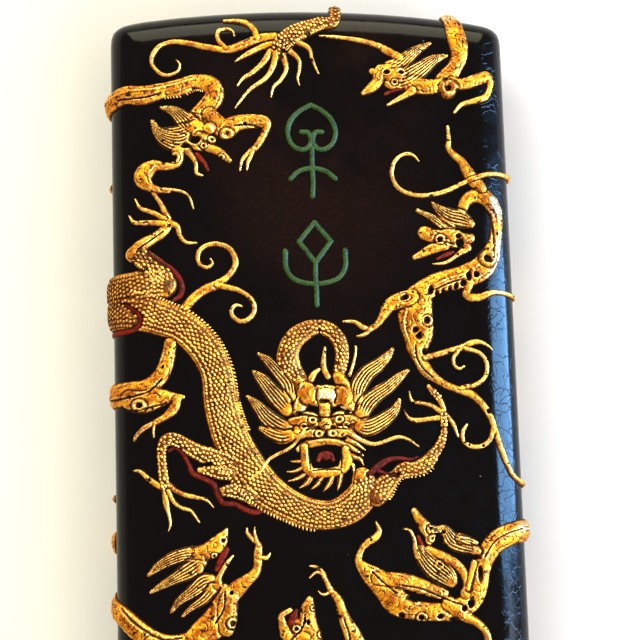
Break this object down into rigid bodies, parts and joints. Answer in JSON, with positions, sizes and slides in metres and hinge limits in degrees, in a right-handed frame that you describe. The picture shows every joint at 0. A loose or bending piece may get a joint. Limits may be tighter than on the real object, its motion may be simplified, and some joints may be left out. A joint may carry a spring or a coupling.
{
  "type": "ink stick",
  "caption": "Solid ink stick for grinding calligraphy ink: arched, round-edged black cake with gilded dragons in low relief and green line ornaments.",
  "frame": {"origin": "centre of the stick's outline, at the height of the surface it lies on", "axes": "+X to the right across the stick, +Y along it towards the end with the clawed limb that reaches over the edge, +Z out of the face that carries the two green line ornaments"},
  "size_m": [0.0788, 0.1607, 0.0208],
  "materials": {
    "ink_lacquer": "near-black lacquered ink, satin gloss, faint reddish brown tint, finely crazed at the edges",
    "gold_relief": "warm gilding, half gloss, dark red-brown in the recesses, pale where worn",
    "gold_hair": "warm gilding over fine combed lines, half gloss, dark red-brown in the grooves",
    "red_pigment": "dark red painted pigment, half matt",
    "green_pigment": "moss green painted pigment, half matt"
  },
  "bodies": {
    "root": {"back_great_dragon_beard": "gold_hair", "back_great_dragon_body": "gold_relief", "back_great_dragon_flames": "red_pigment", "back_great_dragon_foreleg": "gold_relief", "back_great_dragon_head": "gold_relief", "back_great_dragon_horns": "gold_hair", "back_great_dragon_lower_hind_leg": "gold_relief", "back_great_dragon_mane_left": "gold_hair", "back_great_dragon_mane_right": "gold_hair", "back_great_dragon_tail": "gold_relief", "back_great_dragon_tongue": "red_pigment", "back_great_dragon_upper_hind_leg": "gold_relief", "back_great_dragon_whiskers": "gold_hair", "back_over_top_leg": "gold_relief", "back_over_top_tail": "gold_relief", "back_young_dragon_bottom": "gold_relief", "back_young_dragon_left": "gold_relief", "back_young_dragon_lower_centre": "gold_relief", "back_young_dragon_lower_left": "gold_relief", "back_young_dragon_lower_right": "gold_relief", "back_young_dragon_right": "gold_relief", "back_young_dragon_top_left": "gold_relief", "back_young_dragon_top_right": "gold_relief", "back_young_tongues": "red_pigment", "great_dragon_beard": "gold_hair", "great_dragon_body": "gold_relief", "great_dragon_flames": "red_pigment", "great_dragon_foreleg": "gold_relief", "great_dragon_head": "gold_relief", "great_dragon_horns": "gold_hair", "great_dragon_lower_hind_leg": "gold_relief", "great_dragon_mane_left": "gold_hair", "great_dragon_mane_right": "gold_hair", "great_dragon_tail": "gold_relief", "great_dragon_tongue": "red_pigment", "great_dragon_upper_hind_leg": "gold_relief", "great_dragon_whiskers": "gold_hair", "ink_cake": "ink_lacquer", "lower_ornament": "green_pigment", "over_top_leg": "gold_relief", "over_top_tail": "gold_relief", "upper_ornament": "green_pigment", "young_dragon_bottom": "gold_relief", "young_dragon_left": "gold_relief", "young_dragon_lower_centre": "gold_relief", "young_dragon_lower_left": "gold_relief", "young_dragon_lower_right": "gold_relief", "young_dragon_right": "gold_relief", "young_dragon_top_left": "gold_relief", "young_dragon_top_right": "gold_relief", "young_tongue_bottom": "red_pigment", "young_tongue_lower_centre": "red_pigment", "young_tongue_lower_left": "red_pigment", "young_tongue_lower_right": "red_pigment", "young_tongue_right": "red_pigment", "young_tongue_top_left": "red_pigment", "young_tongue_top_right": "red_pigment"}
  },
  "joints": []
}
